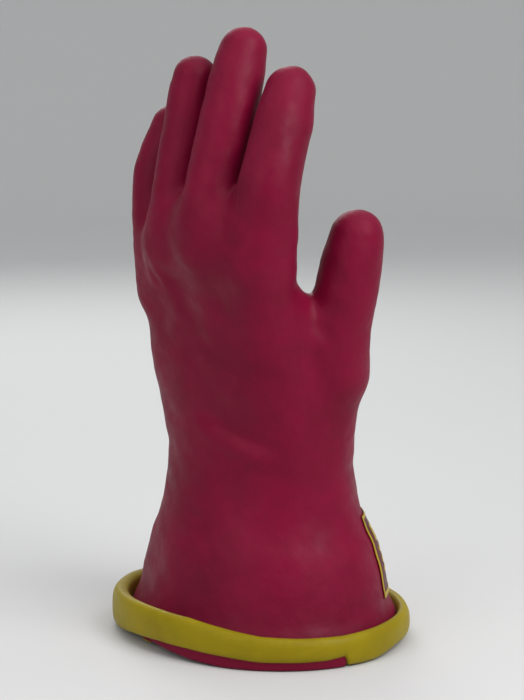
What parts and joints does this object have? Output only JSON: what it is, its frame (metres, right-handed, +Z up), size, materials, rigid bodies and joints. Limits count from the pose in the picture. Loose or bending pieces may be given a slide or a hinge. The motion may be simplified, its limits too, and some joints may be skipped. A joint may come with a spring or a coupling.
{
  "type": "rubber insulating glove",
  "caption": "Short-cuff rubber insulating glove for the left hand, red outside and yellow inside, with a thick outward-rolled cuff and bending fingers, thumb and wrist.",
  "frame": {"origin": "on the surface the glove stands on, under the centre of its bounding box", "axes": "+Z up along the glove from the rolled cuff to the fingertips, +X towards the thumb side, -Y towards the back of the hand, +Y towards the palm"},
  "size_m": [0.145, 0.1271, 0.276],
  "materials": {
    "red_rubber": "satin dipped natural rubber, crimson",
    "yellow_rubber": "satin dipped natural rubber, yellow",
    "label_field": "dark maroon printed patch, slightly glossy",
    "label_ink": "yellow printing ink"
  },
  "bodies": {
    "cuff": {"cuff_outer": "red_rubber", "cuff_inner": "yellow_rubber", "cuff_roll": "yellow_rubber", "cuff_roll_edge": "red_rubber", "label_patch": "label_field", "label_border": "label_ink", "label_print": "label_ink", "wrist_outer": "red_rubber", "wrist_inner": "yellow_rubber"},
    "hand": {"palm_outer": "red_rubber", "palm_inner": "yellow_rubber", "index_root_outer": "red_rubber", "index_root_inner": "yellow_rubber", "middle_root_outer": "red_rubber", "middle_root_inner": "yellow_rubber", "ring_root_outer": "red_rubber", "ring_root_inner": "yellow_rubber", "little_root_outer": "red_rubber", "little_root_inner": "yellow_rubber", "thumb_root_outer": "red_rubber", "thumb_root_inner": "yellow_rubber"},
    "index_base": {"index_base_outer": "red_rubber", "index_base_inner": "yellow_rubber", "index_bend_outer": "red_rubber", "index_bend_inner": "yellow_rubber"},
    "index_tip": {"index_tip_outer": "red_rubber", "index_tip_inner": "yellow_rubber"},
    "middle_base": {"middle_base_outer": "red_rubber", "middle_base_inner": "yellow_rubber", "middle_bend_outer": "red_rubber", "middle_bend_inner": "yellow_rubber"},
    "middle_tip": {"middle_tip_outer": "red_rubber", "middle_tip_inner": "yellow_rubber"},
    "ring_base": {"ring_base_outer": "red_rubber", "ring_base_inner": "yellow_rubber", "ring_bend_outer": "red_rubber", "ring_bend_inner": "yellow_rubber"},
    "ring_tip": {"ring_tip_outer": "red_rubber", "ring_tip_inner": "yellow_rubber"},
    "little_base": {"little_base_outer": "red_rubber", "little_base_inner": "yellow_rubber", "little_bend_outer": "red_rubber", "little_bend_inner": "yellow_rubber"},
    "little_tip": {"little_tip_outer": "red_rubber", "little_tip_inner": "yellow_rubber"},
    "thumb_base": {"thumb_base_outer": "red_rubber", "thumb_base_inner": "yellow_rubber", "thumb_bend_outer": "red_rubber", "thumb_bend_inner": "yellow_rubber"},
    "thumb_tip": {"thumb_tip_outer": "red_rubber", "thumb_tip_inner": "yellow_rubber"}
  },
  "joints": [
    {"name": "wrist_flex", "type": "hinge", "parent": "cuff", "child": "hand", "pos_m": [-0.0012, -0.0009, 0.088], "axis": [-1, 0, 0], "range_deg": [-25, 25], "stiffness_Nm_per_rad": 1.2, "deforming": ["wrist_outer", "wrist_inner"]},
    {"name": "index_root_flex", "type": "hinge", "parent": "hand", "child": "index_base", "pos_m": [0.0382, -0.0314, 0.2075], "axis": [-1, 0, 0], "range_deg": [-10, 35], "stiffness_Nm_per_rad": 0.12, "deforming": ["index_root_outer", "index_root_inner"]},
    {"name": "index_mid_flex", "type": "hinge", "parent": "index_base", "child": "index_tip", "pos_m": [0.0374, -0.0248, 0.226], "axis": [-1, 0, 0], "range_deg": [-10, 35], "stiffness_Nm_per_rad": 0.08, "deforming": ["index_bend_outer", "index_bend_inner"]},
    {"name": "middle_root_flex", "type": "hinge", "parent": "hand", "child": "middle_base", "pos_m": [0.0113, -0.037, 0.2075], "axis": [-1, 0, 0], "range_deg": [-10, 35], "stiffness_Nm_per_rad": 0.12, "deforming": ["middle_root_outer", "middle_root_inner"]},
    {"name": "middle_mid_flex", "type": "hinge", "parent": "middle_base", "child": "middle_tip", "pos_m": [0.0108, -0.03, 0.235], "axis": [-1, 0, 0], "range_deg": [-10, 35], "stiffness_Nm_per_rad": 0.08, "deforming": ["middle_bend_outer", "middle_bend_inner"]},
    {"name": "ring_root_flex", "type": "hinge", "parent": "hand", "child": "ring_base", "pos_m": [-0.0152, -0.036, 0.2075], "axis": [-1, 0, 0], "range_deg": [-10, 35], "stiffness_Nm_per_rad": 0.12, "deforming": ["ring_root_outer", "ring_root_inner"]},
    {"name": "ring_mid_flex", "type": "hinge", "parent": "ring_base", "child": "ring_tip", "pos_m": [-0.0149, -0.0324, 0.229], "axis": [-1, 0, 0], "range_deg": [-10, 35], "stiffness_Nm_per_rad": 0.08, "deforming": ["ring_bend_outer", "ring_bend_inner"]},
    {"name": "little_root_flex", "type": "hinge", "parent": "hand", "child": "little_base", "pos_m": [-0.0382, -0.0287, 0.201], "axis": [-1, 0, 0], "range_deg": [-10, 35], "stiffness_Nm_per_rad": 0.12, "deforming": ["little_root_outer", "little_root_inner"]},
    {"name": "little_mid_flex", "type": "hinge", "parent": "little_base", "child": "little_tip", "pos_m": [-0.0387, -0.028, 0.2165], "axis": [-1, 0, 0], "range_deg": [-10, 30], "stiffness_Nm_per_rad": 0.08, "deforming": ["little_bend_outer", "little_bend_inner"]},
    {"name": "thumb_root_flex", "type": "hinge", "parent": "hand", "child": "thumb_base", "pos_m": [0.0436, 0.0085, 0.1505], "axis": [-0.8, -0.6, 0], "range_deg": [-10, 20], "stiffness_Nm_per_rad": 0.12, "deforming": ["thumb_root_outer", "thumb_root_inner"]},
    {"name": "thumb_mid_flex", "type": "hinge", "parent": "thumb_base", "child": "thumb_tip", "pos_m": [0.0476, 0.0099, 0.171], "axis": [-0.8, -0.6, 0], "range_deg": [-10, 35], "stiffness_Nm_per_rad": 0.08, "deforming": ["thumb_bend_outer", "thumb_bend_inner"]}
  ]
}
